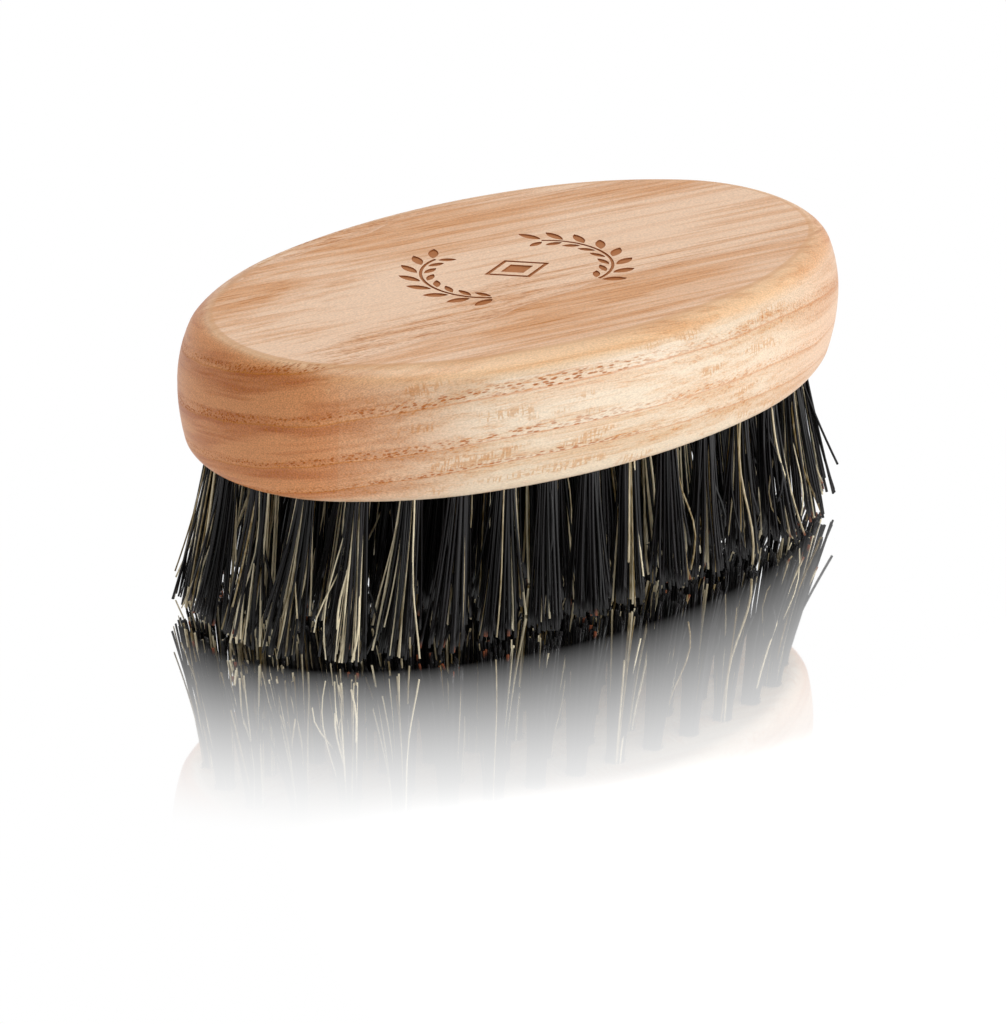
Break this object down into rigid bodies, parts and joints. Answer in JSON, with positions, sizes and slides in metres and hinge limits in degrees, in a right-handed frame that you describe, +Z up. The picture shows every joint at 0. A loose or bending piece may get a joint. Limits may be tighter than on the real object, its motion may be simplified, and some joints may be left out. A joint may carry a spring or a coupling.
{
  "type": "beard brush",
  "caption": "Palm-held oval beard brush: one piece of pale barrel-sided wood on a dense pad of dark mixed bristle tufts, with a small burnt-in leaf wreath on top.",
  "frame": {"origin": "under the middle of the body, on the surface that the bristles stand on", "axes": "+X along the body's length, +Y across it, +Z up from the bristle tips to the wooden top"},
  "size_m": [0.1052, 0.0598, 0.0434],
  "materials": {
    "wood": "pale ring-porous hardwood, sanded smooth with a thin satin oil finish",
    "bristle": "mostly black boar-type bristle with about a fifth straw-coloured, soft sheen",
    "anchor_wire": "plain flat drawn wire"
  },
  "bodies": {
    "root": {"centre_row_tufts": "bristle", "outer_tuft_01": "bristle", "outer_tuft_02": "bristle", "outer_tuft_03": "bristle", "outer_tuft_04": "bristle", "outer_tuft_05": "bristle", "outer_tuft_06": "bristle", "outer_tuft_07": "bristle", "outer_tuft_08": "bristle", "outer_tuft_09": "bristle", "outer_tuft_10": "bristle", "outer_tuft_11": "bristle", "outer_tuft_12": "bristle", "outer_tuft_13": "bristle", "outer_tuft_14": "bristle", "outer_tuft_15": "bristle", "outer_tuft_16": "bristle", "outer_tuft_17": "bristle", "outer_tuft_18": "bristle", "outer_tuft_19": "bristle", "outer_tuft_20": "bristle", "outer_tuft_21": "bristle", "outer_tuft_22": "bristle", "outer_tuft_23": "bristle", "outer_tuft_24": "bristle", "outer_tuft_25": "bristle", "outer_tuft_26": "bristle", "outer_tuft_27": "bristle", "outer_tuft_28": "bristle", "outer_tuft_29": "bristle", "outer_tuft_30": "bristle", "outer_tuft_31": "bristle", "outer_tuft_32": "bristle", "second_tuft_01": "bristle", "second_tuft_02": "bristle", "second_tuft_03": "bristle", "second_tuft_04": "bristle", "second_tuft_05": "bristle", "second_tuft_06": "bristle", "second_tuft_07": "bristle", "second_tuft_08": "bristle", "second_tuft_09": "bristle", "second_tuft_10": "bristle", "second_tuft_11": "bristle", "second_tuft_12": "bristle", "second_tuft_13": "bristle", "second_tuft_14": "bristle", "second_tuft_15": "bristle", "second_tuft_16": "bristle", "second_tuft_17": "bristle", "second_tuft_18": "bristle", "second_tuft_19": "bristle", "second_tuft_20": "bristle", "second_tuft_21": "bristle", "second_tuft_22": "bristle", "second_tuft_23": "bristle", "second_tuft_24": "bristle", "third_ring_tufts": "bristle", "tuft_anchors": "anchor_wire", "wood_body": "wood"}
  },
  "joints": []
}
